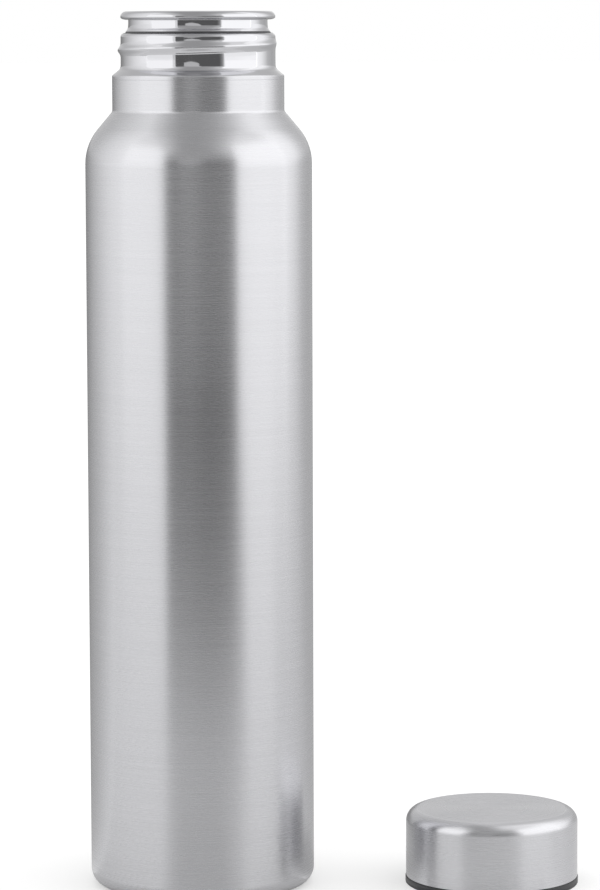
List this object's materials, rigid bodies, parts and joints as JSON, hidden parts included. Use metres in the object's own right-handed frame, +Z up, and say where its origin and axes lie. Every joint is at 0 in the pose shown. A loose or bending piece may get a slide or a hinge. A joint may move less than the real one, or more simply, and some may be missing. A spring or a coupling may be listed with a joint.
{
  "type": "water bottle",
  "caption": "Single-wall steel water bottle: straight brushed body, coned shoulder, polished threaded mouth, and its screw cap with dark plastic liner taken off and standing beside it.",
  "frame": {"origin": "on the bottle's axis, in the plane that its foot ring stands on; the middle panel of the base lies 1.2 mm above it", "axes": "+Z up along the bottle's axis, towards the mouth; +X towards the cap that stands beside it; -Y towards the viewer of the picture"},
  "size_m": [0.1573, 0.072, 0.28],
  "materials": {
    "brushed_steel": "brushed",
    "polished_steel": "polished",
    "dark_plastic": "satin",
    "silicone": "matte"
  },
  "bodies": {
    "bottle": {"body_shell": "brushed_steel", "base_cup": "brushed_steel", "mouth_ring": "polished_steel"},
    "cap_seal": {"cap_gasket": "silicone"},
    "cap": {"cap_shell": "brushed_steel", "cap_liner": "dark_plastic"}
  },
  "joints": [
    {"name": "cap_lift", "type": "slide", "parent": "bottle", "child": "cap_seal", "axis": [0, 0, 1], "range_m": [0, 0.29]},
    {"name": "cap_turn", "type": "hinge", "parent": "cap_seal", "child": "cap", "pos_m": [0.09345, -0.0027, 0], "axis": [0, 0, 1], "continuous": true}
  ]
}
